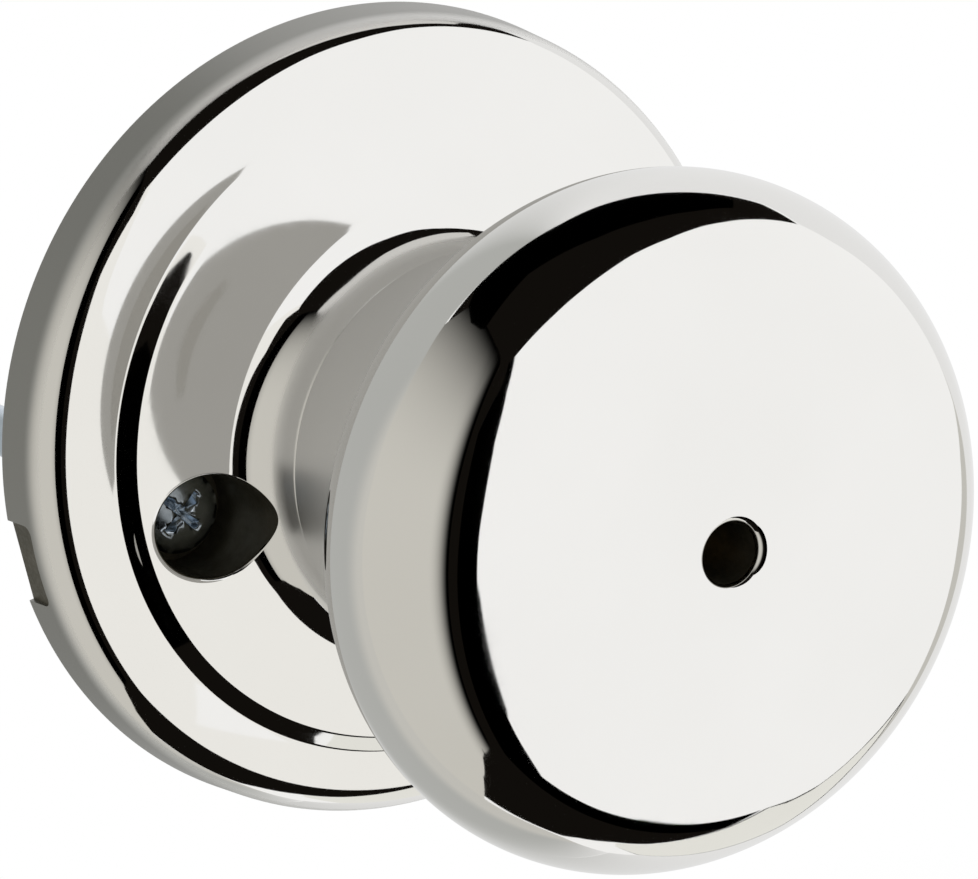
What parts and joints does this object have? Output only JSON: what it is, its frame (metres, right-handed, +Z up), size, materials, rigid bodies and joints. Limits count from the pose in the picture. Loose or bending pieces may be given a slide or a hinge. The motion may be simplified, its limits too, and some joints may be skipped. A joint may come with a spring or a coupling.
{
  "type": "privacy door knob",
  "caption": "Round polished nickel privacy door knob on a stepped rosette, with a release hole in its face and mounting screws recessed in the rosette.",
  "frame": {"origin": "on the knob's axis, in the plane of the door's face", "axes": "-Y out of the door along the knob's axis, +Z up, +X to the right as seen from the room"},
  "size_m": [0.0696, 0.1089, 0.0698],
  "materials": {
    "polished_nickel": "polished",
    "zinc_plate": "bright zinc",
    "zinc_screws": "blue zinc",
    "bright_steel": "turned",
    "spring_wire": "drawn",
    "brass": "turned",
    "white_acetal": "moulded"
  },
  "bodies": {
    "rose": {"rosette": "polished_nickel", "back_plate": "zinc_plate", "plate_screws": "zinc_screws", "mounting_screws": "zinc_screws", "collar_bushing": "white_acetal", "stop_pins": "bright_steel", "spring_post": "bright_steel", "return_spring": "spring_wire"},
    "knob": {"knob": "polished_nickel", "shank_sleeve": "bright_steel", "drive_hub": "bright_steel", "thrust_washer": "zinc_plate", "retaining_ring": "spring_wire", "spindle": "zinc_plate", "spindle_clip": "spring_wire", "rod_bushing": "white_acetal", "spring_seat": "zinc_plate", "head_guide": "white_acetal", "release_spring": "spring_wire"},
    "release": {"release_head": "brass", "release_rod": "bright_steel"}
  },
  "joints": [
    {"name": "knob_turn", "type": "hinge", "parent": "rose", "child": "knob", "pos_m": [0, 0, 0], "axis": [0, -1, 0], "range_deg": [-60, 60], "stiffness_Nm_per_rad": 0.35, "deforming": ["return_spring"]},
    {"name": "release_push", "type": "slide", "parent": "knob", "child": "release", "axis": [0, 1, 0], "range_m": [0, 0.005], "stiffness_N_per_m": 150, "springref_m": -0.005, "deforming": ["release_spring"]}
  ]
}
